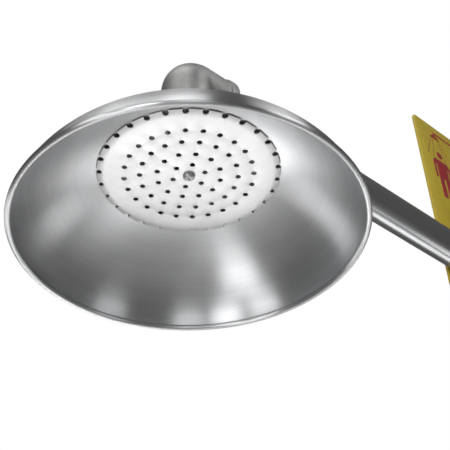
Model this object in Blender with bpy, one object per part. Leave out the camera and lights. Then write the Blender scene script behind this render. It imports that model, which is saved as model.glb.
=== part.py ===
"""Emergency drench shower head on a wall arm.

A spun bowl with a perforated spray plate hangs from an elbow on a horizontal pipe. The pipe carries a
sign, a stay-open ball valve with a pull rod, and a wall flange. Metres, +Z up. The arm lies along X,
the wall is the plane x = 0 and the bowl hangs at x = -ARM_REACH.
"""
import math

import bmesh
import bpy
from mathutils import Matrix, Vector

# Clearances
GAP = 0.0003                 # between pieces that touch
OVERCUT = 0.001              # how far a cutting shape runs past what it cuts
ROOT = 0.002                 # how far a joined shape is sunk into its neighbour
PIN_PLAY = 0.0003            # around pins, stems and rods

# Pipework, one-inch size
PIPE_RADIUS = 0.01685
PIPE_WALL = 0.0026
ENGAGEMENT = 0.015           # pipe screwed into each fitting
ARM_REACH = 0.760            # wall face to bowl axis
ELBOW_REACH = 0.038          # elbow centre to either face
ELBOW_BODY_RADIUS = 0.0216
ELBOW_BEND = 0.0075          # centreline bend radius
BAND_RADIUS = 0.0230
BAND_WIDTH = 0.009
BAND_CORNER = 0.0012
NIPPLE_SHOWING = 0.009       # drop nipple between elbow and inlet socket

# Bowl
BOWL_RADIUS = 0.130
BEAD_RADIUS = 0.0023
BOWL_WALL = 0.0012
CROWN_HEIGHT = 0.0625        # rim plane to the crown's outer face
CROWN_FLAT_RADIUS = 0.035
HUB_HEIGHT = 0.0085          # raised seat above the crown
HUB_RADIUS = 0.0265
RIM_RISE = 0.0268            # how far the wall climbs before it turns in
RIM_LEAN = 0.005             # how far it leans inwards over that climb
SHOULDER_RADIUS = 0.083      # pulls the wall outwards under the crown

# Inlet socket, its lock nut and the plate's bridge
SOCKET_RADIUS = 0.0215
SOCKET_HEIGHT = 0.030
SOCKET_HEX = 0.046           # across flats
SOCKET_HEX_HEIGHT = 0.009
TAIL_RADIUS = 0.0132
TAIL_BORE = 0.0100
TAIL_LENGTH = 0.0115
GASKET_RADIUS = 0.0215
GASKET_THICKNESS = 0.0015
LOCKNUT_HEX = 0.036
LOCKNUT_HEIGHT = 0.005
BRIDGE_WIDTH = 0.006
BRIDGE_DEPTH = 0.004
BRIDGE_BOSS_RADIUS = 0.0050
BRIDGE_INSET = 0.001         # above the tail's lower end

# Spray plate and its screw
PLATE_RADIUS = 0.069
PLATE_THICKNESS = 0.0012
HOLE_RADIUS = 0.0020
HOLE_RINGS = ((6, 0.0125), (12, 0.0242), (18, 0.0370), (24, 0.0488))
PLATE_TURN = math.radians(2.0)
NOTCH_COUNT = 30
NOTCH_RADIUS = 0.0023
NOTCH_INSET = 0.0014         # notch centre inside the plate's edge
SCREW_RADIUS = 0.0025
SCREW_HEAD_RADIUS = 0.0047
SCREW_HEAD_HEIGHT = 0.0030
SCREW_LENGTH = 0.0095
CROSS_HALF = 0.0024           # cross recess, half its reach and half its slot
CROSS_SLOT = 0.0005

# Sign and its U-bolts
SIGN_WIDTH = 0.200
SIGN_HEIGHT = 0.250
SIGN_THICKNESS = 0.003
SIGN_CORNER = 0.005
SIGN_ABOVE_PIPE = 0.219      # pipe axis to the sign's top edge
SIGN_TO_VALVE = 0.034
UBOLT_SPACING = 0.110
UBOLT_RADIUS = 0.003
UBOLT_THREAD_SPARE = 0.003
WASHER_RADIUS = 0.006
WASHER_THICKNESS = 0.0012
UBOLT_NUT_HEX = 0.010
UBOLT_NUT_HEIGHT = 0.005

# Ball valve
VALVE_FROM_WALL = 0.120
VALVE_HALF = 0.042           # centre to either end face
VALVE_HEX = 0.042
VALVE_HEX_LENGTH = 0.018
BARREL_RADIUS = 0.0255
BARREL_BEVEL = 0.003
BALL_RADIUS = 0.019
PORT_RADIUS = 0.0125
SEAT_DEPTH = 0.006
SEAT_RELIEF = 0.0005         # seat bore wider than the ball's port
CAVITY_RADIUS = 0.0200
CAVITY_HALF = 0.0178
CAP_FLANGE = 0.004
STEM_RADIUS = 0.005
STEM_FLANGE_RADIUS = 0.0068
STEM_FLANGE_THICKNESS = 0.0025
STEM_SQUARE = 0.0068
STEM_THREAD = 0.0030         # radius
THREAD_SPARE = 0.002         # thread showing past a nut
TANG_WIDTH = 0.004
TANG_LENGTH = 0.010
TANG_DEPTH = 0.0035
THRUST_WASHER = 0.0011
BOSS_RADIUS = 0.0110
BOSS_REACH = 0.036           # stem boss face from the valve's centre
PACKING_RADIUS = 0.0080
PACKING_DEPTH = 0.0045
PACKING_ROOM = 0.007         # depth of the packing chamber
GLAND_HEX = 0.019
GLAND_HEIGHT = 0.006

# Lever, pull rod and handle
LEVER_LENGTH = 0.115         # stem axis to pin
LEVER_THICKNESS = 0.003
LEVER_HUB_RADIUS = 0.013
LEVER_TIP_RADIUS = 0.009
LEVER_TAIL = 0.020
LEVER_TAIL_WIDTH = 0.008
LEVER_NUT_HEX = 0.013
LEVER_NUT_HEIGHT = 0.005
STOP_RADIUS = 0.0025
STOP_CLEARANCE = 0.0008      # between the lever's hub and a stop
PIN_RADIUS = 0.003
PIN_HEAD_RADIUS = 0.0048
PIN_HEAD_HEIGHT = 0.0015
CLIP_THICKNESS = 0.001
CLIP_LIP = 0.0008            # clip wider than the pin's head
CLEVIS_WIDTH = 0.016
CLEVIS_EAR = 0.0032
CLEVIS_SLOT_DEPTH = 0.0125   # pin axis to the slot's floor
CLEVIS_WEB = 0.006           # solid below the slot
CLEVIS_LENGTH = 0.030        # pin axis to the neck's lower face
CLEVIS_NECK_RADIUS = 0.0065
ROD_RADIUS = 0.004
ROD_LENGTH = 0.420
ROD_THREAD = 0.013           # rod inside the clevis and inside the handle's socket
ROD_NUT_HEX = 0.013
ROD_NUT_HEIGHT = 0.0065
HANDLE_WIDTH = 0.150
HANDLE_DROP = 0.120
HANDLE_CORNER = 0.014
HANDLE_SOCKET_RADIUS = 0.008
HANDLE_SOCKET_HEIGHT = 0.024

# Wall flange and supply stub
FLANGE_RADIUS = 0.055
FLANGE_THICKNESS = 0.008
FLANGE_HUB_RADIUS = 0.025
FLANGE_HUB_LENGTH = 0.042
FLANGE_FILLET = 0.004
FLANGE_CHAMFER = 0.0015
FLANGE_BOLT_CIRCLE = 0.041   # radius
FLANGE_BOLT_HOLE = 0.0045
GRUB_RADIUS = 0.004
GRUB_LENGTH = 0.0075
GRUB_FROM_WALL = 0.028
GRUB_KEY = 0.004             # across flats
GRUB_KEY_DEPTH = 0.003
SUPPLY_STUB = 0.028          # threaded end behind the wall face

ROUND = 24                   # sides of a pipe-sized circle
FINE = 40                    # sides of the bowl
SMALL = 16                   # sides of a bolt-sized circle
ELBOW_SIDES = 24

TO_X = Matrix.Rotation(math.pi / 2, 4, "Y")         # local Z to +X
TO_FRONT = Matrix.Rotation(math.pi / 2, 4, "X")     # local Z to -Y
TO_BACK = Matrix.Rotation(-math.pi / 2, 4, "X")     # local Z to +Y


def clear_scene():
    for obj in list(bpy.data.objects):
        bpy.data.objects.remove(obj, do_unlink=True)


def make_material(name, color, roughness, metallic):
    mat = bpy.data.materials.new(name)
    mat.use_nodes = True
    shader = mat.node_tree.nodes["Principled BSDF"]
    shader.inputs["Base Color"].default_value = (*color, 1.0)
    shader.inputs["Roughness"].default_value = roughness
    shader.inputs["Metallic"].default_value = metallic
    return mat


def make_materials():
    return {
        "satin_steel": make_material("satin_steel", (0.62, 0.62, 0.61), 0.32, 1.0),
        "plate_steel": make_material("plate_steel", (0.80, 0.80, 0.79), 0.40, 1.0),
        "cast_steel": make_material("cast_steel", (0.46, 0.46, 0.45), 0.55, 1.0),
        "plated_brass": make_material("plated_brass", (0.58, 0.57, 0.54), 0.30, 1.0),
        "fastener_steel": make_material("fastener_steel", (0.55, 0.55, 0.55), 0.35, 1.0),
        "white_ptfe": make_material("white_ptfe", (0.88, 0.88, 0.86), 0.45, 0.0),
        "black_rubber": make_material("black_rubber", (0.03, 0.03, 0.03), 0.70, 0.0),
        "sign_yellow": make_material("sign_yellow", (0.78, 0.62, 0.05), 0.40, 0.0),
    }


def add_empty(name, location, parent=None):
    empty = bpy.data.objects.new(name, None)
    empty.empty_display_size = 0.02
    empty.location = location
    empty.parent = parent
    bpy.context.scene.collection.objects.link(empty)
    return empty


def add_part(name, bm, material, parent=None, location=(0, 0, 0), rotation=(0, 0, 0)):
    """Link a finished bmesh as a named object with its own copy of the finish."""
    bmesh.ops.recalc_face_normals(bm, faces=bm.faces[:])
    mesh = bpy.data.meshes.new(name)
    bm.to_mesh(mesh)
    bm.free()
    own = material.copy()
    own.name = name + "_finish"
    mesh.materials.append(own)
    mesh.shade_smooth()
    mesh.set_sharp_from_angle(angle=math.radians(30))
    obj = bpy.data.objects.new(name, mesh)
    obj.location = location
    obj.rotation_euler = rotation
    obj.parent = parent
    bpy.context.scene.collection.objects.link(obj)
    return obj


def shape_with(obj, operation, shapes):
    """Join or cut an object by helper shapes given in its own coordinates."""
    for number, bm in enumerate(shapes):
        bmesh.ops.recalc_face_normals(bm, faces=bm.faces[:])
        name = f"{obj.name}_{operation.lower()}_{number}"
        mesh = bpy.data.meshes.new(name)
        bm.to_mesh(mesh)
        bm.free()
        helper = bpy.data.objects.new(name, mesh)
        helper.parent = obj
        helper.hide_render = True
        helper.display_type = "WIRE"
        bpy.context.scene.collection.objects.link(helper)
        modifier = obj.modifiers.new(name, "BOOLEAN")
        modifier.operation = operation
        modifier.solver = "EXACT"
        modifier.object = helper
    return obj


def turned(outline, sides, matrix=None):
    """Solid of revolution about Z from (radius, height) points, closed on the axis or on itself."""
    bm = bmesh.new()
    verts = [bm.verts.new((radius, 0.0, height)) for radius, height in outline]
    edges = [bm.edges.new(pair) for pair in zip(verts, verts[1:])]
    if min(radius for radius, _ in outline) > 0:
        edges.append(bm.edges.new((verts[-1], verts[0])))
    bmesh.ops.spin(bm, geom=verts + edges, cent=(0, 0, 0), axis=(0, 0, 1), angle=2 * math.pi,
                   steps=sides, use_merge=True)
    bmesh.ops.remove_doubles(bm, verts=bm.verts[:], dist=1e-6)
    if matrix:
        bmesh.ops.transform(bm, matrix=matrix, verts=bm.verts[:])
    return bm


def rod_between(radius, low, high, sides=ROUND, matrix=None):
    return turned([(0, low), (radius, low), (radius, high), (0, high)], sides, matrix)


def ring_between(inner, outer, low, high, sides=ROUND, matrix=None):
    return turned([(inner, low), (outer, low), (outer, high), (inner, high)], sides, matrix)


def hex_between(across_flats, low, high, matrix=None):
    corner = across_flats / 2 / math.cos(math.pi / 6)
    return rod_between(corner, low, high, 6, matrix)


def box_between(low, high, matrix=None):
    bm = bmesh.new()
    bmesh.ops.create_cube(bm, size=1.0)
    size = Vector(high) - Vector(low)
    bmesh.ops.scale(bm, vec=size, verts=bm.verts[:])
    bmesh.ops.translate(bm, vec=(Vector(high) + Vector(low)) / 2, verts=bm.verts[:])
    if matrix:
        bmesh.ops.transform(bm, matrix=matrix, verts=bm.verts[:])
    return bm


def flat_plate(outlines, thickness, matrix=None):
    """Plate from an outer outline and any hole outlines in XY, rising from z = 0."""
    bm = bmesh.new()
    for outline in outlines:
        verts = [bm.verts.new((x, y, 0.0)) for x, y in outline]
        for pair in zip(verts, verts[1:] + verts[:1]):
            bm.edges.new(pair)
    bmesh.ops.triangle_fill(bm, edges=bm.edges[:], use_beauty=True)
    raised = bmesh.ops.extrude_face_region(bm, geom=bm.faces[:])
    tops = [item for item in raised["geom"] if isinstance(item, bmesh.types.BMVert)]
    bmesh.ops.translate(bm, vec=(0, 0, thickness), verts=tops)
    if matrix:
        bmesh.ops.transform(bm, matrix=matrix, verts=bm.verts[:])
    return bm


def arc(radius, start, end, steps, centre=(0.0, 0.0)):
    """Points on a circle from one angle to another, both ends included."""
    angles = [start + (end - start) * i / steps for i in range(steps + 1)]
    return [(centre[0] + radius * math.cos(a), centre[1] + radius * math.sin(a)) for a in angles]


def circle(radius, sides, centre=(0.0, 0.0)):
    return arc(radius, 0, 2 * math.pi, sides, centre)[:-1]


def rounded_corners(corners, radius, steps):
    """Outline of a convex polygon, listed anticlockwise, with every corner rounded."""
    points = []
    count = len(corners)
    for i, corner in enumerate(corners):
        here = Vector(corner)
        back = (Vector(corners[i - 1]) - here).normalized()
        ahead = (Vector(corners[(i + 1) % count]) - here).normalized()
        half = back.angle(ahead) / 2
        centre = here + (back + ahead).normalized() * radius / math.sin(half)
        first = here + back * radius / math.tan(half) - centre
        start = math.atan2(first.y, first.x)
        points += arc(radius, start, start + math.pi - 2 * half, steps, centre)
    return points


def bent_rod(path, radius, sides, closed):
    """Round rod bent in the XY plane along a path of points."""
    bm = bmesh.new()
    count = len(path)
    rings = []
    for i, point in enumerate(path):
        here = Vector((*point, 0.0))
        before = Vector((*path[i - 1], 0.0)) if closed or i > 0 else None
        after = Vector((*path[(i + 1) % count], 0.0)) if closed or i < count - 1 else None
        into = (here - before).normalized() if before else (after - here).normalized()
        out = (after - here).normalized() if after else into
        along = (into + out).normalized()
        side = Vector((along.y, -along.x, 0.0)) / max(0.5, along.dot(into))
        ring = []
        for step in range(sides):
            angle = 2 * math.pi * step / sides
            offset = side * math.cos(angle) + Vector((0, 0, math.sin(angle)))
            ring.append(bm.verts.new(here + offset * radius))
        rings.append(ring)
    pairs = list(zip(rings, rings[1:])) + ([(rings[-1], rings[0])] if closed else [])
    for ring, following in pairs:
        for step in range(sides):
            other = (step + 1) % sides
            bm.faces.new((ring[step], ring[other], following[other], following[step]))
    if not closed:
        bm.faces.new(rings[0])
        bm.faces.new(rings[-1])
    return bm


# ---- where the head's pieces hang below the arm's axis
ELBOW_FACE = -ELBOW_REACH
SOCKET_TOP = ELBOW_FACE - NIPPLE_SHOWING
SOCKET_FOOT = SOCKET_TOP - SOCKET_HEIGHT
GASKET_TOP = SOCKET_FOOT - GAP
BOWL_TOP = GASKET_TOP - GASKET_THICKNESS - GAP
RIM = BOWL_TOP - HUB_HEIGHT - CROWN_HEIGHT
HUB_INSIDE = BOWL_TOP - BOWL_WALL
BORE_RADIUS = PIPE_RADIUS + GAP
WATERWAY = PIPE_RADIUS - PIPE_WALL - 0.001

# ---- where the arm's pieces lie along X
HEAD_X = -ARM_REACH
VALVE_X = -VALVE_FROM_WALL
SIGN_RIGHT = VALVE_X - VALVE_HALF - SIGN_TO_VALVE
SIGN_CENTRE = SIGN_RIGHT - SIGN_WIDTH / 2
SIGN_FRONT = PIPE_RADIUS + GAP

# ---- distances out of the valve's centre along its stem
STEM_SEAT = BALL_RADIUS + 0.0004
FLANGE_TOP = STEM_SEAT + STEM_FLANGE_THICKNESS
RECESS_TOP = FLANGE_TOP + THRUST_WASHER + 2 * GAP
CHAMBER_FLOOR = BOSS_REACH - PACKING_ROOM
PACKING_TOP = CHAMBER_FLOOR + GAP + PACKING_DEPTH
GLAND_TOP = BOSS_REACH + GAP + GLAND_HEIGHT
LEVER_FACE = GLAND_TOP + GAP
LEVER_TOP = LEVER_FACE + LEVER_THICKNESS
LEVER_NUT_TOP = LEVER_TOP + GAP + LEVER_NUT_HEIGHT
LEVER_MIDDLE = LEVER_FACE + LEVER_THICKNESS / 2
CLEVIS_HALF = LEVER_THICKNESS / 2 + 0.0004 + CLEVIS_EAR


def bowl_wall_curve(steps=10):
    """Middle of the wall from the rim's bead up to the crown, as (radius, height) points."""
    rim = BOWL_RADIUS - BEAD_RADIUS
    crown = CROWN_HEIGHT - BOWL_WALL / 2
    a = Vector((rim, 0.0))
    b = Vector((rim - RIM_LEAN, RIM_RISE))
    c = Vector((SHOULDER_RADIUS, crown))
    d = Vector((CROWN_FLAT_RADIUS, crown))
    points = []
    for i in range(steps + 1):
        t = i / steps
        point = a * (1 - t) ** 3 + b * 3 * (1 - t) ** 2 * t + c * 3 * (1 - t) * t ** 2 + d * t ** 3
        points.append(point)
    hub = crown + HUB_HEIGHT
    step_run = (CROWN_FLAT_RADIUS - HUB_RADIUS) / 4
    points.append(Vector((HUB_RADIUS + 2 * step_run, crown + 0.22 * HUB_HEIGHT)))
    points.append(Vector((HUB_RADIUS + step_run, hub - 0.15 * HUB_HEIGHT)))
    points.append(Vector((HUB_RADIUS, hub)))
    points.append(Vector((TAIL_RADIUS + PIN_PLAY, hub)))
    return points


def offset_curve(points, distance):
    """The curve moved sideways, to its right as it runs."""
    moved = []
    for i, point in enumerate(points):
        before = points[max(i - 1, 0)]
        after = points[min(i + 1, len(points) - 1)]
        along = (after - before).normalized()
        moved.append(point + Vector((along.y, -along.x)) * distance)
    moved[-1].x = points[-1].x
    return moved


def bowl_sides():
    middle = bowl_wall_curve()
    outer = offset_curve(middle, BOWL_WALL / 2)
    inner = offset_curve(middle, -BOWL_WALL / 2)
    return outer, inner


def plate_height():
    """Lower face of the spray plate above the rim plane, where its edge clears the bowl's wall."""
    inner = bowl_sides()[1]
    for low, high in zip(inner, inner[1:]):
        if low.x >= PLATE_RADIUS >= high.x:
            share = (low.x - PLATE_RADIUS) / (low.x - high.x)
            wall = low.y + (high.y - low.y) * share
            return wall - 2 * GAP - PLATE_THICKNESS
    return CROWN_HEIGHT - BOWL_WALL - 2 * GAP - PLATE_THICKNESS


PLATE_FOOT = RIM + plate_height()
PLATE_TOP = PLATE_FOOT + PLATE_THICKNESS


def make_bowl(finish, head):
    outer, inner = bowl_sides()
    lean = math.asin(BOWL_WALL / 2 / BEAD_RADIUS)
    bead = arc(BEAD_RADIUS, math.pi / 2 - lean, -1.5 * math.pi + lean, 8,
               (BOWL_RADIUS - BEAD_RADIUS, 0.0))
    outline = [tuple(p) for p in reversed(outer[1:])] + bead + [tuple(p) for p in inner[1:]]
    add_part("shower_bowl", turned(outline, FINE), finish["satin_steel"], head, (0, 0, RIM))


def notched_edge():
    """Edge of the spray plate with its ring of open notches."""
    centre_radius = PLATE_RADIUS - NOTCH_INSET
    mouth = math.acos((PLATE_RADIUS ** 2 - centre_radius ** 2 - NOTCH_RADIUS ** 2)
                      / (2 * centre_radius * NOTCH_RADIUS))
    half = math.asin(NOTCH_RADIUS * math.sin(mouth) / PLATE_RADIUS)
    pitch = 2 * math.pi / NOTCH_COUNT
    points = []
    for i in range(NOTCH_COUNT):
        turn = i * pitch
        middle = (centre_radius * math.cos(turn), centre_radius * math.sin(turn))
        points += arc(NOTCH_RADIUS, turn - mouth, turn - 2 * math.pi + mouth, 5, middle)
        points += arc(PLATE_RADIUS, turn + half, turn + pitch - half, 2)[1:-1]
    return points


def make_spray_plate(finish, head):
    outlines = [notched_edge(), circle(SCREW_RADIUS + PIN_PLAY, 12)]
    for count, radius in HOLE_RINGS:
        for i in range(count):
            angle = PLATE_TURN + 2 * math.pi * i / count
            middle = (radius * math.cos(angle), radius * math.sin(angle))
            outlines.append(circle(HOLE_RADIUS, 8, middle))
    plate = flat_plate(outlines, PLATE_THICKNESS)
    add_part("spray_plate", plate, finish["plate_steel"], head, (0, 0, PLATE_FOOT))


def make_plate_screw(finish, head):
    r, h = SCREW_HEAD_RADIUS, SCREW_HEAD_HEIGHT
    outline = [(0, -h), (0.45 * r, -0.95 * h), (0.8 * r, -0.72 * h), (0.97 * r, -0.4 * h), (r, 0),
               (SCREW_RADIUS, 0), (SCREW_RADIUS, SCREW_LENGTH), (0, SCREW_LENGTH)]
    place = (0, 0, PLATE_FOOT - GAP)
    screw = add_part("plate_screw", turned(outline, SMALL), finish["fastener_steel"], head, place)
    slot, wide = CROSS_SLOT, CROSS_HALF
    floor = -0.45 * h
    cross = [box_between((-wide, -slot, -2 * h), (wide, slot, floor)),
             box_between((-slot, -wide, -2 * h), (slot, wide, floor))]
    shape_with(screw, "DIFFERENCE", cross)


def make_bridge(finish, head):
    """Bar across the socket's tail, with the threaded boss that the spray plate hangs from."""
    reach = TAIL_BORE - GAP
    half = math.sqrt(reach ** 2 - (BRIDGE_WIDTH / 2) ** 2) - PIN_PLAY
    low = SOCKET_FOOT - TAIL_LENGTH + BRIDGE_INSET
    high = low + BRIDGE_DEPTH
    bar = box_between((-half, -BRIDGE_WIDTH / 2, low), (half, BRIDGE_WIDTH / 2, high))
    bridge = add_part("plate_bridge", bar, finish["fastener_steel"], head)
    foot = PLATE_TOP + GAP
    shape_with(bridge, "UNION", [rod_between(BRIDGE_BOSS_RADIUS, foot, high - BRIDGE_INSET, SMALL)])
    depth = PLATE_FOOT + SCREW_LENGTH + GAP
    shape_with(bridge, "DIFFERENCE", [rod_between(SCREW_RADIUS + PIN_PLAY, foot - OVERCUT, depth, SMALL)])


def make_inlet_socket(finish, head):
    body = turned([(0, 0), (SOCKET_RADIUS, 0), (SOCKET_RADIUS, SOCKET_HEX_HEIGHT - SOCKET_HEIGHT - OVERCUT),
                   (0, SOCKET_HEX_HEIGHT - SOCKET_HEIGHT - OVERCUT)], ROUND)
    socket = add_part("inlet_socket", body, finish["plated_brass"], head, (0, 0, SOCKET_TOP))
    flange = hex_between(SOCKET_HEX, -SOCKET_HEIGHT, SOCKET_HEX_HEIGHT - SOCKET_HEIGHT)
    tail = rod_between(TAIL_RADIUS, -SOCKET_HEIGHT - TAIL_LENGTH, ROOT - SOCKET_HEIGHT, ROUND)
    shape_with(socket, "UNION", [flange, tail])
    depth = -ENGAGEMENT - GAP
    bottom = -SOCKET_HEIGHT - TAIL_LENGTH - OVERCUT
    bore = turned([(0, OVERCUT), (BORE_RADIUS, OVERCUT), (BORE_RADIUS, depth), (TAIL_BORE, depth),
                   (TAIL_BORE, bottom), (0, bottom)], ROUND)
    shape_with(socket, "DIFFERENCE", [bore])


def make_head_seals(finish, head):
    bore = TAIL_RADIUS + PIN_PLAY
    outer = ring_between(bore, GASKET_RADIUS, -GASKET_THICKNESS, 0)
    add_part("socket_gasket", outer, finish["black_rubber"], head, (0, 0, GASKET_TOP))
    nut_top = HUB_INSIDE - GAP
    nut = hex_between(LOCKNUT_HEX, -LOCKNUT_HEIGHT, 0)
    locknut = add_part("socket_locknut", nut, finish["plated_brass"], head, (0, 0, nut_top))
    shape_with(locknut, "DIFFERENCE", [rod_between(bore, -LOCKNUT_HEIGHT - OVERCUT, OVERCUT, ROUND)])


def make_drop_nipple(finish, head):
    top = ELBOW_FACE + ENGAGEMENT
    bottom = SOCKET_TOP - ENGAGEMENT
    tube = ring_between(PIPE_RADIUS - PIPE_WALL, PIPE_RADIUS, bottom, top)
    add_part("drop_nipple", tube, finish["satin_steel"], head)


def leg_ring(radius, reach, across_leg):
    """Circle of points round one leg, at a distance from the elbow's centre."""
    ring = []
    for y, side in circle(radius, ELBOW_SIDES):
        point = (side, y, -reach)
        ring.append((reach, y, -side) if across_leg else point)
    return ring


def bend_ring(radius, swing):
    """Circle of points part way round the bend; its inner side stays on the mitre of the two legs."""
    ring = []
    for y, side in circle(radius, ELBOW_SIDES):
        out = min(side - ELBOW_BEND, 0.0)
        inner = max(side, ELBOW_BEND)
        ring.append((inner + out * math.cos(swing), y, -inner - out * math.sin(swing)))
    return ring


def elbow_skin(leg_stations, radius):
    """Rings from the drop leg's face, round the bend, to the arm leg's face."""
    steps = 7
    rings = [leg_ring(r, reach, False) for r, reach in leg_stations]
    rings += [bend_ring(radius, math.pi / 2 * i / steps) for i in range(steps + 1)]
    rings += [leg_ring(r, reach, True) for r, reach in reversed(leg_stations)]
    return rings


def make_elbow(finish, head):
    band_start = ELBOW_REACH - BAND_WIDTH
    depth = ELBOW_REACH - ENGAGEMENT - GAP
    outside = [(BAND_RADIUS - BAND_CORNER, ELBOW_REACH), (BAND_RADIUS, ELBOW_REACH - BAND_CORNER),
               (BAND_RADIUS, band_start + BAND_CORNER), (BAND_RADIUS - BAND_CORNER, band_start),
               (ELBOW_BODY_RADIUS, band_start)]
    inside = [(BORE_RADIUS, ELBOW_REACH), (BORE_RADIUS, depth), (WATERWAY, depth)]
    rings = elbow_skin(outside, ELBOW_BODY_RADIUS) + elbow_skin(inside, WATERWAY)[::-1]
    bm = bmesh.new()
    rows = [[bm.verts.new(point) for point in ring] for ring in rings]
    for row, following in zip(rows, rows[1:] + rows[:1]):
        for i in range(ELBOW_SIDES):
            other = (i + 1) % ELBOW_SIDES
            bm.faces.new((row[i], row[other], following[other], following[i]))
    bmesh.ops.remove_doubles(bm, verts=bm.verts[:], dist=1e-6)
    add_part("pipe_elbow", bm, finish["cast_steel"], head)


def make_arm_pipe(finish):
    start = HEAD_X + ELBOW_REACH - ENGAGEMENT
    end = VALVE_X - VALVE_HALF + ENGAGEMENT
    tube = ring_between(PIPE_RADIUS - PIPE_WALL, PIPE_RADIUS, start, end, ROUND, TO_X)
    add_part("arm_pipe", tube, finish["satin_steel"])


def make_sign(finish):
    left, right = SIGN_CENTRE - SIGN_WIDTH / 2, SIGN_RIGHT
    top = SIGN_ABOVE_PIPE
    bottom = top - SIGN_HEIGHT
    # drawn in XY and stood up facing -Y, so the drawing's y is the sign's height
    edge = rounded_corners([(left, bottom), (right, bottom), (right, top), (left, top)], SIGN_CORNER, 5)
    outlines = [edge]
    leg = PIPE_RADIUS + GAP + UBOLT_RADIUS
    for x in (SIGN_CENTRE - UBOLT_SPACING / 2, SIGN_CENTRE + UBOLT_SPACING / 2):
        for z in (-leg, leg):
            outlines.append(circle(UBOLT_RADIUS + PIN_PLAY, 12, (x, z)))
    plate = flat_plate(outlines, SIGN_THICKNESS, TO_FRONT)
    add_part("sign_plate", plate, finish["sign_yellow"], None, (0, SIGN_FRONT + SIGN_THICKNESS, 0))


def make_sign_fixings(finish):
    leg = PIPE_RADIUS + GAP + UBOLT_RADIUS
    washer_back = SIGN_FRONT + SIGN_THICKNESS + GAP + WASHER_THICKNESS
    nut_front = washer_back + GAP
    leg_end = nut_front + UBOLT_NUT_HEIGHT + UBOLT_THREAD_SPARE
    bend = arc(leg, -math.pi / 2, -1.5 * math.pi, 10)
    path = [(leg_end, -leg), *bend, (leg_end, leg)]
    stand = Matrix(((0, 0, 1, 0), (1, 0, 0, 0), (0, 1, 0, 0), (0, 0, 0, 1)))    # drawing XY to YZ
    for side, name in ((-1, "sign_ubolt_left"), (1, "sign_ubolt_right")):
        x = SIGN_CENTRE + side * UBOLT_SPACING / 2
        rod = bent_rod(path, UBOLT_RADIUS, 8, closed=False)
        bmesh.ops.transform(rod, matrix=stand, verts=rod.verts[:])
        add_part(name, rod, finish["fastener_steel"], None, (x, 0, 0))
    hole = UBOLT_RADIUS + PIN_PLAY
    corners = [(x, z) for x in (-UBOLT_SPACING / 2, UBOLT_SPACING / 2) for z in (-leg, leg)]
    for number, (x, z) in enumerate(corners, 1):
        washer = ring_between(hole, WASHER_RADIUS, 0, WASHER_THICKNESS, SMALL, TO_BACK)
        place = (SIGN_CENTRE + x, washer_back - WASHER_THICKNESS, z)
        add_part(f"sign_washer_{number}", washer, finish["fastener_steel"], None, place)
        nut = hex_nut(UBOLT_NUT_HEX, hole, UBOLT_NUT_HEIGHT, TO_BACK)
        add_part(f"sign_nut_{number}", nut, finish["fastener_steel"], None, (SIGN_CENTRE + x, nut_front, z))


def hex_nut(across_flats, hole, height, matrix=None):
    """Hexagonal nut with a plain bore, rising from z = 0."""
    corner = across_flats / 2 / math.cos(math.pi / 6)
    hexagon = [(corner * math.cos(a), corner * math.sin(a))
               for a in (math.pi / 3 * i for i in range(6))]
    return flat_plate([hexagon, circle(hole, 12)], height, matrix)


def make_valve_body(finish, valve):
    end = -VALVE_HALF
    barrel_end = -(VALVE_HALF - VALVE_HEX_LENGTH)
    cavity_mouth = CAVITY_HALF + CAP_FLANGE
    barrel = turned([(0, barrel_end - BARREL_BEVEL), (VALVE_HEX / 2, barrel_end - BARREL_BEVEL),
                     (BARREL_RADIUS, barrel_end + BARREL_BEVEL), (BARREL_RADIUS, cavity_mouth),
                     (0, cavity_mouth)], ROUND, TO_X)
    body = add_part("valve_body", barrel, finish["plated_brass"], valve)
    unions = [hex_between(VALVE_HEX, end, barrel_end, TO_X),
              rod_between(BOSS_RADIUS, BARREL_RADIUS - 3 * ROOT, BOSS_REACH, 24, TO_FRONT)]
    offset = LEVER_TAIL_WIDTH / 2 + STOP_RADIUS + GAP
    orbit = LEVER_HUB_RADIUS + STOP_CLEARANCE + STOP_RADIUS
    for x, z in ((orbit, -offset), (-offset, orbit)):
        root = math.sqrt(BARREL_RADIUS ** 2 - z ** 2) - ROOT
        spot = Matrix.Translation((x, 0, z)) @ TO_FRONT
        unions.append(rod_between(STOP_RADIUS, root, LEVER_TOP, 12, spot))
    shape_with(body, "UNION", unions)
    socket_floor = end + ENGAGEMENT + GAP
    way = turned([(0, end - OVERCUT), (BORE_RADIUS, end - OVERCUT), (BORE_RADIUS, socket_floor),
                  (PORT_RADIUS, socket_floor), (PORT_RADIUS, -CAVITY_HALF),
                  (CAVITY_RADIUS, -CAVITY_HALF), (CAVITY_RADIUS, cavity_mouth + OVERCUT),
                  (0, cavity_mouth + OVERCUT)], ROUND, TO_X)
    recess = STEM_FLANGE_RADIUS + GAP
    shaft = STEM_RADIUS + PIN_PLAY
    chamber = PACKING_RADIUS + GAP
    inside = BALL_RADIUS / 2
    stem_way = turned([(0, inside), (recess, inside), (recess, RECESS_TOP), (shaft, RECESS_TOP),
                       (shaft, CHAMBER_FLOOR), (chamber, CHAMBER_FLOOR), (chamber, BOSS_REACH + OVERCUT),
                       (0, BOSS_REACH + OVERCUT)], 24, TO_FRONT)
    shape_with(body, "DIFFERENCE", [way, stem_way])


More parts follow.
